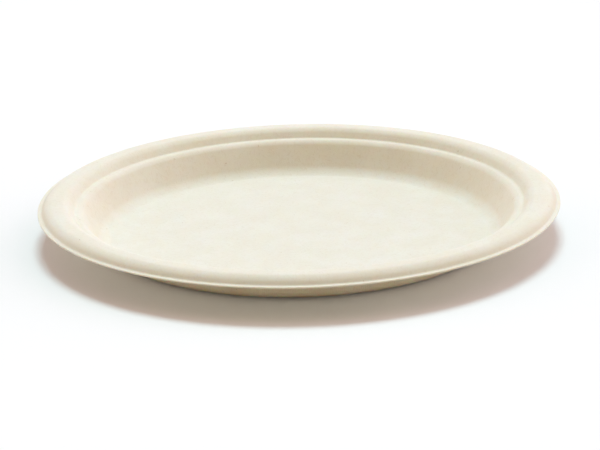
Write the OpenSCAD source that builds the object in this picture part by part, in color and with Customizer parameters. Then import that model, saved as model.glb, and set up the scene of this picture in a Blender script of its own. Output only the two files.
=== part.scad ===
// Round paper plate, pressed from plant fibre in one piece.
// It stands on the plane z = 0 with its centre on the Z axis.
// One wall of even thickness runs from the centre of the floor to the trimmed edge.
// Heights are those of the wall's upper face, and the rim is laid out from the edge inwards,
// so the floor takes whatever width the rim leaves.

/* [Plate] */
// Diameter over the trimmed edge
plate_d = 228; // [170:1:300]
// Height of the crown of the rim above the table
plate_h = 18.5; // [14:0.5:30]
// Thickness of the pressed wall
wall_t = 0.6; // [0.5:0.1:1.5]

/* [Edge] */
// Width of the flat brim outside the rim
brim_w = 1.6; // [0.5:0.1:8]
// Height that the rim falls from its crown to the brim
brim_drop = 3.4; // [1.5:0.1:6]
// Slope of the rim's outer face, in degrees
brim_slope = 55; // [30:1:60]
// Bend radius where the outer face meets the brim
brim_bend = 1.2; // [0.2:0.1:3]

/* [Crown] */
// Width of the crown between its two slopes
crown_w = 8.9; // [3:0.1:14]
// Bend radius of the crown's outer shoulder
outer_bend = 5.2; // [1.5:0.1:10]
// Bend radius of the crown's inner shoulder
inner_bend = 4.5; // [1.5:0.1:10]

/* [Step] */
// Height of the step from the ledge up to the crown
step_h = 4.1; // [2.5:0.1:8]
// Slope of the step, in degrees
step_slope = 54; // [35:1:70]
// Bend radius where the ledge meets the step
step_bend = 1.3; // [0.2:0.1:3]

/* [Ledge] */
// Width of the ledge between the well and the step
ledge_w = 3.4; // [1:0.1:10]
// Bend radius where the ledge turns down into the well
ledge_bend = 3.8; // [1.5:0.1:8]

/* [Well] */
// Slope of the well's side, in degrees
well_slope = 59; // [30:1:65]
// Bend radius where the well's side meets the floor
floor_bend = 7.5; // [1:0.5:16]

/* [Hidden] */

// Largest turn between two neighbouring points of a bend, in degrees
BEND_STEP = 7.5;
// Facets round the plate in the preview
$fn = 180;

// Heights of the wall's upper face
brim_z = plate_h - brim_drop;
ledge_z = plate_h - step_h;
floor_z = wall_t;

// Radii of the corners of the section, from the edge inwards
edge_r = plate_d / 2;
brim_r = edge_r - brim_w;
crown_out_r = brim_r - brim_drop / tan(brim_slope);
crown_in_r = crown_out_r - crown_w;
step_r = crown_in_r - step_h / tan(step_slope);
ledge_r = step_r - ledge_w;
floor_r = ledge_r - (ledge_z - floor_z) / tan(well_slope);

// Sharp corners of the wall's upper face, as [radius, height], from the centre to the edge
CORNERS = [
    [0, floor_z],
    [floor_r, floor_z],
    [ledge_r, ledge_z],
    [step_r, ledge_z],
    [crown_in_r, plate_h],
    [crown_out_r, plate_h],
    [brim_r, brim_z],
    [edge_r, brim_z],
];
// Bend radius at each corner, and none at the two ends
BENDS = [0, floor_bend, ledge_bend, step_bend, inner_bend, outer_bend, brim_bend, 0];

// Direction of the stretch that leaves corner i, in degrees
function heading(path, i) = let (run = path[i + 1] - path[i]) atan2(run.y, run.x);

// Turn of the path at corner i, in degrees: positive where it turns upwards
function turn(path, i) = heading(path, i) - heading(path, i - 1);

function is_end(path, i) = i == 0 || i == len(path) - 1;

// Length that the bend at corner i would take from the stretch on each side of it
function wanted(path, bends, i) = is_end(path, i) ? 0 : bends[i] * tan(abs(turn(path, i)) / 2);

// Length that it may take from the stretch to corner j, where the two bends share what there is
function allowed(path, bends, i, j) =
    let (own = wanted(path, bends, i), both = own + wanted(path, bends, j))
    both == 0 ? 0 : own * min(1, norm(path[j] - path[i]) / both);

// Points of the round bend at corner i
function bend(path, bends, i) =
    let (
        taken = min(allowed(path, bends, i, i - 1), allowed(path, bends, i, i + 1)),
        swing = turn(path, i),
        start = heading(path, i - 1),
        r = sign(swing) * taken / tan(abs(swing) / 2),
        centre = path[i] - taken * [cos(start), sin(start)] + r * [-sin(start), cos(start)],
        steps = ceil(abs(swing) / BEND_STEP)
    )
    taken == 0
        ? [path[i]]
        : [for (k = [0:steps]) let (a = start + swing * k / steps) centre + r * [sin(a), -cos(a)]];

// The path with a round bend at each of its corners
function rounded(path, bends) = [
    for (i = [0:len(path) - 1])
        each (is_end(path, i) ? [path[i]] : bend(path, bends, i))
];

// Corner i of the wall's lower face: straight below an end, and on the mitre line elsewhere
function under_corner(i) =
    is_end(CORNERS, i)
        ? CORNERS[i] - [0, wall_t]
        : let (half = turn(CORNERS, i) / 2, a = heading(CORNERS, i - 1) + half)
            CORNERS[i] + wall_t / cos(half) * [sin(a), -cos(a)];

// A bend keeps its centre through the wall, so its radius on the lower face differs by the wall
function under_bend(i) = is_end(CORNERS, i) ? 0 : max(0, BENDS[i] + sign(turn(CORNERS, i)) * wall_t);

UPPER = rounded(CORNERS, BENDS);
UNDER_CORNERS = [for (i = [0:len(CORNERS) - 1]) under_corner(i)];
UNDER_BENDS = [for (i = [0:len(CORNERS) - 1]) under_bend(i)];
UNDER = rounded(UNDER_CORNERS, UNDER_BENDS);

// Section through the wall, from the centre to the edge and back below
module wall_section() {
    polygon(concat(UPPER, [for (i = [len(UNDER) - 1:-1:0]) UNDER[i]]));
}

module plate() {
    color([0.93, 0.91, 0.84])
        rotate_extrude()
            wall_section();
}

plate();
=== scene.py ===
"""Round plate pressed from plant fibre, dressed and lit for a studio view.

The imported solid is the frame. One piece, the pressed wall, replaces it: the section is laid out
from the same sizes, turned about the plate's axis and given its thickness.
"""

from __future__ import annotations

import functools
import logging
import math
from dataclasses import dataclass
from enum import Enum
from typing import Any, Union

import bmesh
import bpy
from mathutils import Matrix, Vector, noise

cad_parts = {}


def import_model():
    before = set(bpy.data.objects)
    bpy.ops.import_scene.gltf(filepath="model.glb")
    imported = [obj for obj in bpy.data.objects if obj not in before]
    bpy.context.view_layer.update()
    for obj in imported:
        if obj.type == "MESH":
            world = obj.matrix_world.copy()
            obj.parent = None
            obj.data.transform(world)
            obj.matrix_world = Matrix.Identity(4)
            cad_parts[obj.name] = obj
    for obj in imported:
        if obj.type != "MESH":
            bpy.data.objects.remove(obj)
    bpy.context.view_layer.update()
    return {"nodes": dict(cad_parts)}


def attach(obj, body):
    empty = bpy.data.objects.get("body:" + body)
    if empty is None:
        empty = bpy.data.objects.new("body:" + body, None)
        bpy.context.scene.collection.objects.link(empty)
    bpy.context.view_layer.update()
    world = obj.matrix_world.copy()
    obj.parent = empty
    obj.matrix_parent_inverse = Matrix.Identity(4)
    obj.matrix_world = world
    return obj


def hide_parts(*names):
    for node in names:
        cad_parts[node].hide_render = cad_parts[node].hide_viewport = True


LOG = logging.getLogger("plate")
MM = 0.001
# Points of a mesh that lie closer together than this become one point
MERGE_GAP = 0.01 * MM
# Value that a noise swings about
NOISE_MEAN = 0.5
# Mean height of the sky as a level table sees it, where the horizon is 0 and overhead is 1
DOME_MEAN = 2 / 3
# Places of a Mix node's sockets for colours, which share their names with those for numbers
MIX_MASK, MIX_FIRST, MIX_SECOND, MIX_RESULT = 0, 6, 7, 2

Colour = tuple[float, float, float]
Point = tuple[float, float, float]
Span = tuple[float, float]
Feed = Union["Signal", float, Colour, Point]

WHITE: Colour = (1.0, 1.0, 1.0)
RIGHT: Point = (1.0, 0.0, 0.0)
BEHIND: Point = (0.0, 1.0, 0.0)
UP: Point = (0.0, 0.0, 1.0)
# What is left of a place when its height is dropped
FLAT: Point = (1.0, 1.0, 0.0)
# What a direction's squared parts count for: more at both sides, less in front and behind
SIDEWAYS: Point = (1.0, -1.0, 0.0)


def linear(red: int, green: int, blue: int) -> Colour:
    """Turn a screen colour into the linear colour that shaders and lamps take.

    The numbers are those of the sRGB curve.

    Args:
        red: Red, from 0 to 255.
        green: Green, from 0 to 255.
        blue: Blue, from 0 to 255.

    Returns:
        The same colour as linear parts from 0 to 1.
    """
    shares = (part / 255 for part in (red, green, blue))
    return tuple(s / 12.92 if s <= 0.04045 else ((s + 0.055) / 1.055) ** 2.4 for s in shares)


class Signal:
    """A socket's output, on which arithmetic adds the Math nodes that work it out."""

    def __init__(self, graph: Graph, socket: bpy.types.NodeSocket) -> None:
        """Wrap one output socket.

        Args:
            graph: The node tree that holds the socket.
            socket: The output socket.
        """
        self.graph = graph
        self.socket = socket

    def beside(self, output: str) -> Signal:
        """Return another output of the same node, by its name."""
        return Signal(self.graph, self.socket.node.outputs[output])

    def maths(self, operation: str, *feeds: Feed) -> Signal:
        """Add one Math node.

        Args:
            operation: Blender's name of the operation.
            feeds: Its operands, in order.

        Returns:
            The node's result.
        """
        settings = {"operation": operation}
        return self.graph.node("ShaderNodeMath", settings, dict(enumerate(feeds)))

    def __add__(self, other: Feed) -> Signal:
        """Return self + other."""
        return self.maths("ADD", self, other)

    def __sub__(self, other: Feed) -> Signal:
        """Return self - other."""
        return self.maths("SUBTRACT", self, other)

    def __rsub__(self, other: Feed) -> Signal:
        """Return other - self."""
        return self.maths("SUBTRACT", other, self)

    def __mul__(self, other: Feed) -> Signal:
        """Return self * other."""
        return self.maths("MULTIPLY", self, other)

    def __abs__(self) -> Signal:
        """Return the size of self without its sign."""
        return self.maths("ABSOLUTE", self)

    def sine(self) -> Signal:
        """Return the sine of self."""
        return self.maths("SINE", self)

    def over(self, other: Feed) -> Signal:
        """Return the larger of self and other."""
        return self.maths("MAXIMUM", self, other)

    def ramp(self, low: float, high: float) -> Signal:
        """Rise smoothly from 0 to 1.

        Args:
            low: Value at which the result leaves 0. It may lie above high, for a fall.
            high: Value at which the result reaches 1.

        Returns:
            A value from 0 to 1.
        """
        settings = {"interpolation_type": "SMOOTHSTEP"}
        feeds = {"Value": self, "From Min": low, "From Max": high}
        return self.graph.node("ShaderNodeMapRange", settings, feeds)

    __radd__ = __add__
    __rmul__ = __mul__


class Graph:
    """A node tree that is written from the first node to the output."""

    def __init__(self, tree: bpy.types.NodeTree) -> None:
        """Empty the tree.

        Args:
            tree: The tree of a material or the world.
        """
        self.tree = tree
        tree.nodes.clear()

    def node(
        self,
        kind: str,
        settings: dict[str, Any] | None = None,
        feeds: dict[int | str, Feed] | None = None,
        output: int | str = 0,
    ) -> Signal:
        """Add a node, set it up and feed it.

        Args:
            kind: Blender's type of the node.
            settings: The node's own properties, set before its sockets are fed.
            feeds: A value or a signal for each socket that isn't left as it comes.
            output: The output that is wanted.

        Returns:
            That output.
        """
        made = self.tree.nodes.new(kind)
        for name, value in (settings or {}).items():
            setattr(made, name, value)
        for name, feed in (feeds or {}).items():
            socket = made.inputs[name]
            if isinstance(feed, Signal):
                self.tree.links.new(feed.socket, socket)
            elif socket.type == "RGBA":
                socket.default_value = (*feed, 1.0)
            else:
                socket.default_value = feed
        return Signal(self, made.outputs[output] if made.outputs else None)

    def vectors(self, operation: str, *feeds: Feed) -> Signal:
        """Add a Vector Math node.

        Args:
            operation: Blender's name of the operation.
            feeds: Its operands, in order.

        Returns:
            The node's result: a number for a dot product, and a vector for the rest.
        """
        output = "Value" if operation == "DOT_PRODUCT" else "Vector"
        settings = {"operation": operation}
        return self.node("ShaderNodeVectorMath", settings, dict(enumerate(feeds)), output)

    def blend(self, mask: Feed, first: Feed, second: Feed) -> Signal:
        """Mix two colours.

        Args:
            mask: 0 for the first colour, 1 for the second.
            first: A colour or a colour signal.
            second: A colour or a colour signal.

        Returns:
            The mixed colour.
        """
        feeds = {MIX_MASK: mask, MIX_FIRST: first, MIX_SECOND: second}
        return self.node("ShaderNodeMix", {"data_type": "RGBA"}, feeds, MIX_RESULT)


def put(name: str, data: bpy.types.ID) -> bpy.types.Object:
    """Put an object in the scene.

    Args:
        name: Name of the object.
        data: Its mesh, lamp or camera.

    Returns:
        The object.
    """
    made = bpy.data.objects.new(name, data)
    bpy.context.scene.collection.objects.link(made)
    return made


def put_mesh(
    name: str, mesh: bmesh.types.BMesh, materials: list[bpy.types.Material]
) -> bpy.types.Object:
    """Put a worked mesh in the scene as an object.

    Args:
        name: Name of the object and of its mesh.
        mesh: The worked mesh, which is freed.
        materials: The materials, in the order of their places.

    Returns:
        The object.
    """
    data = bpy.data.meshes.new(name)
    mesh.to_mesh(data)
    mesh.free()
    for material in materials:
        data.materials.append(material)
    return put(name, data)


class Side(Enum):
    """Faces of the pressed wall, by the tool that left them. The value is the material's place."""

    DIE = 0
    SCREEN = 1
    CUT = 2


@dataclass(frozen=True)
class Fibre:
    """One lay of fibres in the pulp: how they run and how large they are.

    Attributes:
        bearing: Direction of the fibres across the table, in degrees.
        length: About how long a fibre shows, in metres.
        gap: About how far apart the fibres lie, in metres.
    """

    bearing: float
    length: float
    gap: float


def spread_lays(first: float, length: float, gap: float, count: int = 3) -> tuple[Fibre, ...]:
    """Spread lays of fibres evenly over all directions.

    Args:
        first: Bearing of the first lay, in degrees.
        length: About how long a fibre shows, in metres.
        gap: About how far apart the fibres lie, in metres.
        count: Number of lays.

    Returns:
        The lays.
    """
    return tuple(Fibre(first + 180.0 * k / count, length, gap) for k in range(count))


@dataclass(frozen=True)
class PressedFibre:
    """Finish of pressed plant fibre, matt and cream, with fibres, cloudy tone and bran flecks.

    Attributes:
        name: Name of the material.
        pulp: Main colour.
        pale: Colour of the paler clouds and fibres.
        straw: Colour of the darker fibres, and of the painted shade on the rim's outer slope.
        bran: Colour of the flecks.
        roughness: Middle roughness.
        relief: Height of the relief, in metres.
        grain: Size of the finest relief, in metres.
        screen_pitch: Distance between the wires whose print shows, in metres, or 0 for none.
        screen_depth: Depth of their print, as a share of the relief.
        cloud: Size of the clouds of tone, in metres.
        cloud_span: Noise values between which the tone goes over to the pale colour.
        fade: Strength of each finer wave of a noise, as a share of the wave before it.
        pale_lays: The lays of pale fibres, which cross each other.
        straw_lays: The lays of darker fibres.
        pale_share: How much of their colour the pale fibres show, from 0 to 1.
        straw_share: The same of the darker fibres.
        strand_half: Half the width of a fibre, in noise values.
        strand_span: Noise values between which a fibre comes to show in full.
        bend_gap: Distance over which the fibres bend to and fro, in metres.
        bend_reach: How far they bend, in metres.
        fleck_bearings: Directions in which the flecks lie, in degrees.
        fleck_gap: Distance between the places where one direction's fleck may lie, in metres.
        fleck_share: Share of those places that hold one.
        fleck_length: Half the length of the largest flecks, in metres.
        fleck_slim: Width of a fleck as a share of its length.
        fleck_edge: Width of a fleck's soft edge, as a share of the distance between places.
        speck: How much of its colour a fleck shows, from 0 to 1.
        slope_shade: How much of the straw colour shows on the rim's outer slope as painted shade,
            from 0 to 1.
        slope_shade_from: Distance from the plate's axis at which the painted shade on the slope
            starts, in metres.
        slope_shade_full: Distance from which the slope is shaded in full, in metres.
        slope_shade_tilt: How level a face is where the painted shade starts and is full, 1 being
            level.
        grain_height: Height of the grain, as a share of the relief.
        strand_height: Height of the fibres, as a share of the relief.
        roughness_swing: Change of roughness from the grain's lowest to its highest points.
        shine: Strength of the reflections at the surface, where 0.5 is the usual one.
        glow: Share of the light that spreads inside the pulp before it leaves.
        glow_depth: How far that light spreads, in metres.
        glow_reach: How far each colour of it spreads, as a share of that depth.
    """

    name: str
    pulp: Colour
    pale: Colour
    straw: Colour
    bran: Colour
    roughness: float
    relief: float
    grain: float
    screen_pitch: float = 0.0
    screen_depth: float = 0.4
    cloud: float = 16.0 * MM
    cloud_span: Span = (0.35, 0.7)
    fade: float = 0.55
    pale_lays: tuple[Fibre, ...] = spread_lays(first=9.0, length=4.5 * MM, gap=0.8 * MM)
    straw_lays: tuple[Fibre, ...] = spread_lays(first=39.0, length=3.5 * MM, gap=0.7 * MM)
    pale_share: float = 0.35
    straw_share: float = 0.3
    strand_half: float = 0.06
    strand_span: Span = (0.5, 0.62)
    bend_gap: float = 9.0 * MM
    bend_reach: float = 3.0 * MM
    fleck_bearings: tuple[float, ...] = (20.0, 83.0, 147.0)
    fleck_gap: float = 13.0 * MM
    fleck_share: float = 0.12
    fleck_length: float = 0.7 * MM
    fleck_slim: float = 0.4
    fleck_edge: float = 0.03
    speck: float = 0.5
    # Painted shade: the straw colour that darkens the rim's outer slope
    slope_shade: float = 0.35
    slope_shade_from: float = 105.0 * MM
    slope_shade_full: float = 108.5 * MM
    slope_shade_tilt: Span = (0.95, 0.65)
    grain_height: float = 0.5
    strand_height: float = 0.3
    roughness_swing: float = 0.2
    shine: float = 0.3
    glow: float = 0.5
    glow_depth: float = 1.0 * MM
    glow_reach: Colour = (1.0, 0.7, 0.45)

    def drift(self, graph: Graph, plain: Signal) -> Signal:
        """Shift the plate's coordinates to and fro a little, so that no fibre lies dead straight.

        Args:
            graph: The material's tree.
            plain: The plate's own coordinates, in metres.

        Returns:
            The shifted coordinates, in metres.
        """
        feeds = {"Vector": plain, "Scale": 1.0 / self.bend_gap, "Detail": 1.0}
        push = graph.node("ShaderNodeTexNoise", {}, feeds, output="Color")
        reach = (self.bend_reach, self.bend_reach, 0.0)
        return graph.vectors("MULTIPLY_ADD", push, reach, plain)

    def mottle(
        self,
        graph: Graph,
        where: Signal,
        sizes: Point,
        bearing: float = 0.0,
        detail: float = 0.0,
    ) -> Signal:
        """Lay a soft noise on the plate.

        Args:
            graph: The material's tree.
            where: Coordinates in metres.
            sizes: Length of a wave along the noise's own axes, in metres.
            bearing: Turn of those axes about the plate's axis, in degrees.
            detail: How many finer waves are added.

        Returns:
            A value that swings about NOISE_MEAN.
        """
        turned = self.place(graph, where, sizes, bearing)
        feeds = {"Vector": turned, "Scale": 1.0, "Detail": detail, "Roughness": self.fade}
        return graph.node("ShaderNodeTexNoise", {}, feeds)

    def place(self, graph: Graph, where: Signal, sizes: Point, bearing: float) -> Signal:
        """Turn and scale the coordinates for a pattern.

        Args:
            graph: The material's tree.
            where: Coordinates in metres.
            sizes: Size of one unit of the pattern along its own axes, in metres.
            bearing: Turn of those axes about the plate's axis, in degrees.

        Returns:
            The pattern's coordinates.
        """
        turn = (0.0, 0.0, math.radians(bearing))
        feeds = {"Vector": where, "Rotation": turn, "Scale": sizes}
        return graph.node("ShaderNodeMapping", {"vector_type": "TEXTURE"}, feeds)

    def strands(self, graph: Graph, where: Signal, lays: tuple[Fibre, ...]) -> Signal:
        """Draw fibres: pieces of the lines along which a stretched noise is level.

        Args:
            graph: The material's tree.
            where: Coordinates in metres.
            lays: The lays of fibres.

        Returns:
            1 on a fibre and 0 between the fibres.
        """
        drawn = []
        for lay in lays:
            sizes = (lay.length, lay.gap, lay.length)
            spans = (lay.length / 2, lay.gap * 2, lay.length)
            level = self.mottle(graph, where, sizes, lay.bearing)
            kept = self.mottle(graph, where, spans, lay.bearing)
            line = abs(level - NOISE_MEAN).ramp(self.strand_half, 0.0)
            drawn.append(line * kept.ramp(*self.strand_span))
        return functools.reduce(Signal.over, drawn)

    def flecks(self, graph: Graph, where: Signal) -> Signal:
        """Scatter the bran flecks, slim ones that lie in a few directions.

        Args:
            graph: The material's tree.
            where: Coordinates in metres.

        Returns:
            1 inside a fleck and 0 outside.
        """
        drawn = []
        for bearing in self.fleck_bearings:
            sizes = (self.fleck_gap, self.fleck_gap * self.fleck_slim, self.fleck_gap)
            turned = self.place(graph, where, sizes, bearing)
            feeds = {"Vector": turned, "Scale": 1.0}
            settings = {"voronoi_dimensions": "2D"}
            reach = graph.node("ShaderNodeTexVoronoi", settings, feeds, output="Distance")
            draw = {"Color": reach.beside("Color")}
            chance = graph.node("ShaderNodeSeparateColor", {}, draw, output="Red")
            size = (chance - (1.0 - self.fleck_share)).over(0.0) * (1.0 / self.fleck_share)
            edge = size * (self.fleck_length / self.fleck_gap)
            drawn.append((edge - reach).ramp(0.0, self.fleck_edge))
        return functools.reduce(Signal.over, drawn)

    def shaded_slope(self, graph: Graph, plain: Signal) -> Signal:
        """Find the rim's outer slope, where the straw colour is laid on as painted shade.

        Args:
            graph: The material's tree.
            plain: The plate's own coordinates, in metres.

        Returns:
            1 on the slope and 0 elsewhere.
        """
        flat = graph.vectors("MULTIPLY", plain, FLAT)
        square = graph.vectors("DOT_PRODUCT", flat, flat)
        level = graph.vectors("DOT_PRODUCT", plain.beside("Normal"), UP)
        outer = square.ramp(self.slope_shade_from**2, self.slope_shade_full**2)
        return outer * abs(level).ramp(*self.slope_shade_tilt)

    def screen(self, graph: Graph, plain: Signal) -> Signal:
        """Press the wires of the forming screen into the face.

        Args:
            graph: The material's tree.
            plain: The plate's own coordinates, in metres.

        Returns:
            The height of the print, from 0 in a wire's groove to 1 between the wires.
        """
        wave = math.pi / self.screen_pitch
        across = graph.node("ShaderNodeSeparateXYZ", {}, {"Vector": plain}, output="X")
        along = across.beside("Y")
        return abs((across * wave).sine()) * abs((along * wave).sine())

    def build(self) -> bpy.types.Material:
        """Make the material.

        Returns:
            The finished material.
        """
        material = bpy.data.materials.new(self.name)
        material.use_nodes = True
        graph = Graph(material.node_tree)
        plain = graph.node("ShaderNodeTexCoord", output="Object")
        where = self.drift(graph, plain)
        cloud = self.mottle(graph, where, (self.cloud,) * 3, detail=4.0)
        grain = self.mottle(graph, where, (self.grain,) * 3, detail=3.0)
        pale = self.strands(graph, where, self.pale_lays)
        straw = self.strands(graph, where, self.straw_lays)
        fleck = self.flecks(graph, where)
        shaded_slope = self.shaded_slope(graph, plain)

        tone = graph.blend(cloud.ramp(*self.cloud_span), self.pulp, self.pale)
        tone = graph.blend(pale * self.pale_share, tone, self.pale)
        tone = graph.blend(straw * self.straw_share, tone, self.straw)
        # Painted shade: the straw colour darkens the rim's outer slope all the way round
        tone = graph.blend(shaded_slope * self.slope_shade, tone, self.straw)
        tone = graph.blend(fleck * self.speck, tone, self.bran)

        height = grain * self.grain_height + (pale + straw) * self.strand_height
        if self.screen_pitch:
            height = height + self.screen(graph, plain) * self.screen_depth
        bump = graph.node("ShaderNodeBump", {}, {"Distance": self.relief, "Height": height})
        feeds = {
            "Base Color": tone,
            "Roughness": self.roughness + (grain - NOISE_MEAN) * self.roughness_swing,
            "Normal": bump,
            "Specular IOR Level": self.shine,
            "Subsurface Weight": self.glow,
            "Subsurface Radius": self.glow_reach,
            "Subsurface Scale": self.glow_depth,
        }
        shell = graph.node("ShaderNodeBsdfPrincipled", {}, feeds)
        graph.node("ShaderNodeOutputMaterial", {}, {"Surface": shell})
        return material


DIE_FACE = PressedFibre(
    name="pressed_fibre",
    pulp=linear(239, 233, 215),
    pale=linear(242, 237, 222),
    straw=linear(224, 212, 187),
    bran=linear(196, 176, 140),
    roughness=0.85,
    relief=0.05 * MM,
    grain=0.6 * MM,
)
SCREEN_FACE = PressedFibre(
    name="pressed_fibre_underside",
    pulp=linear(237, 231, 213),
    pale=linear(241, 236, 221),
    straw=linear(222, 209, 183),
    bran=linear(194, 173, 137),
    roughness=0.92,
    relief=0.08 * MM,
    grain=0.7 * MM,
    screen_pitch=0.8 * MM,
)
CUT_FACE = PressedFibre(
    name="pressed_fibre_edge",
    pulp=linear(239, 234, 218),
    pale=linear(244, 240, 228),
    straw=linear(220, 207, 181),
    bran=linear(198, 178, 142),
    roughness=0.95,
    relief=0.08 * MM,
    grain=0.25 * MM,
    cloud=6.0 * MM,
)
FINISHES = {Side.DIE: DIE_FACE, Side.SCREEN: SCREEN_FACE, Side.CUT: CUT_FACE}


@dataclass(frozen=True)
class Corner:
    """A sharp corner of the wall's upper face, and the round bend that takes its place.

    Attributes:
        radius: Distance from the plate's axis, in metres.
        height: Height above the table, in metres.
        bend: Radius of the bend, in metres.
    """

    radius: float
    height: float
    bend: float = 0.0


@dataclass
class PressedPlate:
    """The plate: one wall of even thickness, from the floor's centre to the trimmed edge.

    Attributes:
        diameter: Diameter over the trimmed edge, in metres, as are the sizes below.
        height: Height of the crown above the table.
        wall: Thickness of the wall.
        brim_w: Width of the flat brim.
        brim_drop: Fall from the crown to the brim.
        brim_slope: Slope of the rim's outer face, in degrees.
        brim_bend: Bend radius between the outer face and the brim.
        crown_w: Width of the crown between its slopes.
        outer_bend: Bend radius of the crown's outer shoulder.
        inner_bend: Bend radius of the crown's inner shoulder.
        step_h: Height of the step from the ledge to the crown.
        step_slope: Slope of the step, in degrees.
        step_bend: Bend radius between ledge and step.
        ledge_w: Width of the ledge.
        ledge_bend: Bend radius between ledge and well.
        well_slope: Slope of the well's side, in degrees.
        floor_bend: Bend radius between the well's side and the floor.
        turns: Faces round the plate.
        facet: Largest turn from face to face along a bend, in degrees.
        stretch: Longest face along a straight stretch of the section.
        upright: Share of a face's direction that may point up or down on the trimmed edge.
        edge_round: Rounding of the trimmed edge's two corners.
        edge_facets: Faces across each of those roundings.
        wave: Height of the rim's slight waves, from drying.
        wave_rate: How often the waves change on the way round, as the noise's scale.
        fray: Depth of the trimmed edge's unevenness.
        fray_rate: The same scale for the unevenness.
    """

    diameter: float = 228.0 * MM
    height: float = 18.5 * MM
    wall: float = 0.6 * MM
    brim_w: float = 1.6 * MM
    brim_drop: float = 3.4 * MM
    brim_slope: float = 55.0
    brim_bend: float = 1.2 * MM
    crown_w: float = 8.9 * MM
    outer_bend: float = 5.2 * MM
    inner_bend: float = 4.5 * MM
    step_h: float = 4.1 * MM
    step_slope: float = 54.0
    step_bend: float = 1.3 * MM
    ledge_w: float = 3.4 * MM
    ledge_bend: float = 3.8 * MM
    well_slope: float = 59.0
    floor_bend: float = 7.5 * MM
    turns: int = 360
    facet: float = 6.0
    stretch: float = 5.0 * MM
    upright: float = 0.5
    edge_round: float = 0.12 * MM
    edge_facets: int = 2
    wave: float = 0.12 * MM
    wave_rate: float = 1.3
    fray: float = 0.05 * MM
    fray_rate: float = 55.0

    def corners(self) -> list[Corner]:
        """Lay out the section from the edge inwards.

        Returns:
            The corners of the wall's upper face, from the centre to the edge.
        """
        edge = self.diameter / 2
        brim = edge - self.brim_w
        crown_out = brim - self.brim_drop / math.tan(math.radians(self.brim_slope))
        crown_in = crown_out - self.crown_w
        step = crown_in - self.step_h / math.tan(math.radians(self.step_slope))
        ledge = step - self.ledge_w
        ledge_z = self.height - self.step_h
        brim_z = self.height - self.brim_drop
        floor = ledge - (ledge_z - self.wall) / math.tan(math.radians(self.well_slope))
        return [
            Corner(0.0, self.wall),
            Corner(floor, self.wall, self.floor_bend),
            Corner(ledge, ledge_z, self.ledge_bend),
            Corner(step, ledge_z, self.step_bend),
            Corner(crown_in, self.height, self.inner_bend),
            Corner(crown_out, self.height, self.outer_bend),
            Corner(brim, brim_z, self.brim_bend),
            Corner(edge, brim_z),
        ]

    def draw_section(self, mesh: bmesh.types.BMesh) -> None:
        """Draw the wall's upper face as one line in the XZ plane, with its bends.

        Args:
            mesh: The empty mesh that takes the line.
        """
        corners = self.corners()
        points = [mesh.verts.new((c.radius, 0.0, c.height)) for c in corners]
        for start, end in zip(points, points[1:]):
            mesh.edges.new((start, end))
        bends = list(zip(corners, corners[1:], corners[2:], points[1:]))
        for before, corner, after, point in bends:
            rise = math.atan2(corner.height - before.height, corner.radius - before.radius)
            leave = math.atan2(after.height - corner.height, after.radius - corner.radius)
            swing = abs(leave - rise)
            bmesh.ops.bevel(
                mesh,
                geom=[point],
                offset=corner.bend * math.tan(swing / 2),
                offset_type="OFFSET",
                segments=math.ceil(math.degrees(swing) / self.facet),
                profile=0.5,
                affect="VERTICES",
                material=-1,
            )
        for edge in list(mesh.edges):
            cuts = math.ceil(edge.calc_length() / self.stretch) - 1
            if cuts > 0:
                bmesh.ops.subdivide_edges(mesh, edges=[edge], cuts=cuts)

    def turn_section(self, mesh: bmesh.types.BMesh) -> None:
        """Turn the line once round the plate's axis and face the surface upwards.

        Args:
            mesh: The mesh that holds the line.
        """
        bmesh.ops.spin(
            mesh,
            geom=[*mesh.verts, *mesh.edges],
            cent=(0.0, 0.0, 0.0),
            axis=UP,
            angle=2 * math.pi,
            steps=self.turns,
            use_merge=True,
        )
        bmesh.ops.remove_doubles(mesh, verts=mesh.verts, dist=MERGE_GAP)
        bmesh.ops.recalc_face_normals(mesh, faces=mesh.faces)
        if sum(face.normal.z for face in mesh.faces) < 0:
            bmesh.ops.reverse_faces(mesh, faces=mesh.faces)

    def wear_in(self, mesh: bmesh.types.BMesh) -> None:
        """Give the rim the slight waves that drying leaves, and the edge its uneven trim.

        Args:
            mesh: The turned surface.
        """
        corners = self.corners()
        floor, brim, edge = corners[1].radius, corners[-2].radius, corners[-1].radius
        for point in mesh.verts:
            out = Vector((point.co.x, point.co.y, 0.0))
            if out.length <= floor:
                continue
            away = out.normalized()
            reach = ((out.length - floor) / (edge - floor)) ** 2
            point.co.z += self.wave * reach * noise.noise(away * self.wave_rate)
            if out.length > brim:
                point.co += away * self.fray * noise.noise(away * self.fray_rate)

    def thicken(self, mesh: bmesh.types.BMesh) -> None:
        """Give the surface its wall, sort its faces by side and round the trimmed edge's corners.

        Args:
            mesh: The surface that becomes the wall.
        """
        upper = set(mesh.faces)
        bmesh.ops.solidify(mesh, geom=mesh.faces[:], thickness=self.wall)
        mesh.normal_update()
        for face in mesh.faces:
            face.smooth = True
            face.material_index = (Side.DIE if face in upper else self.hidden_side(face)).value
        rims = []
        for edge in mesh.edges:
            sides = {face.material_index for face in edge.link_faces}
            if len(sides) == 2 and Side.CUT.value in sides:
                rims.append(edge)
        bmesh.ops.bevel(
            mesh,
            geom=rims,
            offset=self.edge_round,
            offset_type="OFFSET",
            segments=self.edge_facets,
            profile=0.5,
            affect="EDGES",
            material=-1,
        )

    def hidden_side(self, face: bmesh.types.BMFace) -> Side:
        """Tell the trimmed edge from the underside.

        Args:
            face: A face that the thickness added.

        Returns:
            The side that the face belongs to.
        """
        trim = self.diameter / 2 - self.brim_w / 2
        steep = abs(face.normal.z) < self.upright
        outermost = face.calc_center_median().xy.length > trim
        return Side.CUT if steep and outermost else Side.SCREEN

    def build(self) -> bpy.types.Object:
        """Build the wall as one piece.

        Returns:
            The piece, with its materials.
        """
        mesh = bmesh.new()
        self.draw_section(mesh)
        self.turn_section(mesh)
        self.wear_in(mesh)
        self.thicken(mesh)
        return put_mesh("pressed_wall", mesh, [FINISHES[side].build() for side in Side])


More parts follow.
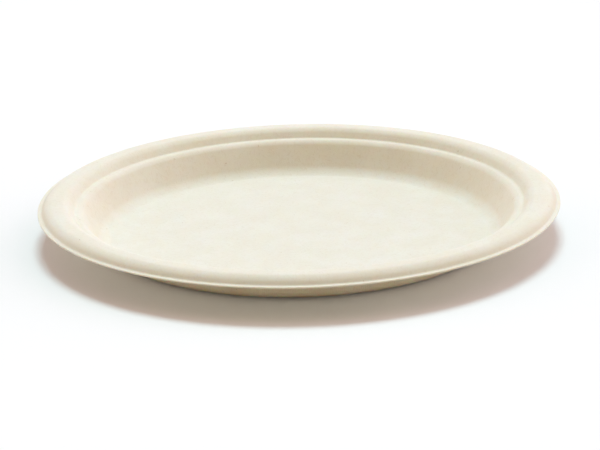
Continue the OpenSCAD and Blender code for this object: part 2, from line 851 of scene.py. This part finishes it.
@dataclass(frozen=True)
class PhotoView:
    """The camera, where the photograph was taken from.

    Attributes:
        elevation: Height above the horizon, in degrees.
        distance: Distance from the point it looks at, in metres.
        roll: Turn of the camera about its view, in degrees.
        aim: The point that it looks at, in metres.
        plate_px: Radius of the plate in the photograph's pixels, seen at that distance.
        frame_px: Width of the photograph, in pixels.
        sensor: Width of the sensor, in millimetres.
    """

    elevation: float = 18.18
    distance: float = 1.3
    roll: float = -1.44
    aim: Point = (0.25 * MM, 0.0, 3.9 * MM)
    plate_px: float = 259.9
    frame_px: float = 600.0
    sensor: float = 36.0

    def build(self, radius: float) -> bpy.types.Object:
        """Make the camera and put the scene's view through it.

        Args:
            radius: Radius of the plate, in metres.

        Returns:
            The camera.
        """
        data = bpy.data.cameras.new("photo_view")
        data.sensor_width = self.sensor
        data.lens = self.plate_px * self.distance / radius * self.sensor / self.frame_px
        camera = put("photo_view", data)
        lift = math.radians(self.elevation)
        back = Vector((0.0, -math.cos(lift), math.sin(lift)))
        turn = (-back).to_track_quat("-Z", "Y").to_matrix().to_4x4()
        roll = Matrix.Rotation(math.radians(self.roll), 4, "Z")
        place = Matrix.Translation(Vector(self.aim) + back * self.distance)
        camera.matrix_world = place @ turn @ roll
        bpy.context.scene.camera = camera
        return camera


@dataclass(frozen=True)
class Studio:
    """The light and the table: a high lamp behind the plate and a warm room round it.

    The room's light leans towards one side of the sky, and is stronger at the left and right
    than at the front and back, as with a screen on either hand. Its colour shifts from side to
    side as well, and is bluer behind the plate.

    Attributes:
        lamp_elevation: Height of the lamp above the horizon, in degrees.
        lamp_bearing: Direction of the lamp, in degrees to the right of straight behind.
        lamp_spread: Width of the lamp as the plate sees it, in degrees.
        lamp_level: Brightness that the lamp alone gives a white table.
        room: Brightness that the room alone gives a white table.
        room_lean: How much brighter the room is to the right, at the back and overhead.
        room_flank: How much brighter it is at both sides, and darker at the front and back.
        tint_behind: How much each colour of the room gains at the back and loses in front.
        tint_right: How much each colour of the room gains on the right and loses on the left.
        tint_flank: How much each colour gains at both sides, and loses at the front and back.
        table: Colour of the table.
        table_glow: Share of white that the table shows the camera beside what it reflects.
        table_size: Width of the table, in metres.
        table_gap: Distance that the table keeps from the plate's foot, in metres.
    """

    lamp_elevation: float = 67.3
    lamp_bearing: float = 3.0
    lamp_spread: float = 22.5
    lamp_level: Colour = (0.335, 0.495, 0.54)
    room: Colour = (0.665, 0.505, 0.46)
    room_lean: Colour = (0.35, 0.56, 0.26)
    room_flank: float = 1.23
    tint_behind: Colour = (0.0, -0.06, 0.37)
    tint_right: Colour = (0.0, 0.035, 0.115)
    tint_flank: Colour = (-0.08, -0.01, 0.03)
    table: Colour = (0.97, 0.97, 0.955)
    table_glow: float = 0.027
    table_size: float = 8.0
    table_gap: float = 0.02 * MM

    def light_lamp(self) -> bpy.types.Object:
        """Hang the lamp.

        Returns:
            The lamp.
        """
        lift, bearing = math.radians(self.lamp_elevation), math.radians(self.lamp_bearing)
        level = max(self.lamp_level)
        data = bpy.data.lights.new("lamp", "SUN")
        data.energy = math.pi * level / math.sin(lift)
        data.color = [part / level for part in self.lamp_level]
        data.angle = math.radians(self.lamp_spread)
        lamp = put("lamp", data)
        flat = math.cos(lift)
        towards = Vector((flat * math.sin(bearing), flat * math.cos(bearing), math.sin(lift)))
        lamp.rotation_mode = "QUATERNION"
        lamp.rotation_quaternion = towards.to_track_quat("Z", "Y")
        return lamp

    def light_room(self) -> None:
        """Fill the room with soft light, and show the camera and mirrors a white background."""
        world = bpy.data.worlds.new("room")
        world.use_nodes = True
        graph = Graph(world.node_tree)
        towards = graph.node("ShaderNodeTexCoord", output="Generated")
        lean = graph.vectors("DOT_PRODUCT", towards, self.room_lean)
        square = graph.vectors("MULTIPLY", towards, towards)
        flank = graph.vectors("DOT_PRODUCT", square, SIDEWAYS)
        level = 1.0 - self.room_lean[2] * DOME_MEAN
        strength = (lean + flank * self.room_flank + level).over(0.0)
        behind = graph.vectors("DOT_PRODUCT", towards, BEHIND)
        right = graph.vectors("DOT_PRODUCT", towards, RIGHT)
        tint = graph.vectors("MULTIPLY_ADD", behind, self.tint_behind, WHITE)
        tint = graph.vectors("MULTIPLY_ADD", right, self.tint_right, tint)
        tint = graph.vectors("MULTIPLY_ADD", flank, self.tint_flank, tint)
        colour = graph.vectors("MULTIPLY", tint, self.room)
        feeds = {"Color": colour, "Strength": strength}
        room = graph.node("ShaderNodeBackground", {}, feeds)
        white = graph.node("ShaderNodeBackground", {}, {"Color": WHITE})
        seen = graph.node("ShaderNodeLightPath", output="Is Camera Ray")
        seen = seen.over(seen.beside("Is Glossy Ray")).over(seen.beside("Is Transmission Ray"))
        both = graph.node("ShaderNodeMixShader", {}, {0: seen, 1: room, 2: white})
        graph.node("ShaderNodeOutputWorld", {}, {"Surface": both})
        bpy.context.scene.world = world

    def paint_table(self) -> bpy.types.Material:
        """Make the table's matt white, which the camera sees a little brighter than it is.

        Returns:
            The material.
        """
        material = bpy.data.materials.new("white_table")
        material.use_nodes = True
        graph = Graph(material.node_tree)
        matt = graph.node("ShaderNodeBsdfDiffuse", {}, {"Color": self.table})
        glow = graph.node("ShaderNodeEmission", {}, {"Strength": self.table_glow})
        dark = graph.node("ShaderNodeEmission", {}, {"Strength": 0.0})
        seen = graph.node("ShaderNodeLightPath", output="Is Camera Ray")
        shown = graph.node("ShaderNodeMixShader", {}, {0: seen, 1: dark, 2: glow})
        both = graph.node("ShaderNodeAddShader", {}, {0: matt, 1: shown})
        graph.node("ShaderNodeOutputMaterial", {}, {"Surface": both})
        return material

    def lay_table(self) -> bpy.types.Object:
        """Lay the white table under the plate.

        Returns:
            The table.
        """
        mesh = bmesh.new()
        half = self.table_size / 2
        drop = Matrix.Translation((0.0, 0.0, -self.table_gap))
        bmesh.ops.create_grid(mesh, x_segments=1, y_segments=1, size=half, matrix=drop)
        return put_mesh("table", mesh, [self.paint_table()])


def main() -> None:
    """Build the plate, the studio and the camera."""
    logging.basicConfig(level=logging.INFO, format="%(name)s: %(message)s")
    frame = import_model()
    LOG.info("frame with nodes %s", ", ".join(frame["nodes"]))

    plate = PressedPlate()
    wall = plate.build()
    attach(wall, "root")
    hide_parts("plate")
    LOG.info("%s: %d faces", wall.name, len(wall.data.polygons))

    studio = Studio()
    table = studio.lay_table()
    LOG.info("%s: %.1f m wide", table.name, studio.table_size)
    lamp = studio.light_lamp()
    studio.light_room()
    LOG.info("%s: strength %.2f", lamp.name, lamp.data.energy)
    camera = PhotoView().build(plate.diameter / 2)
    bpy.context.scene.view_settings.view_transform = "Standard"
    LOG.info("%s: lens %.1f mm", camera.name, camera.data.lens)


if __name__ == "__main__":
    main()
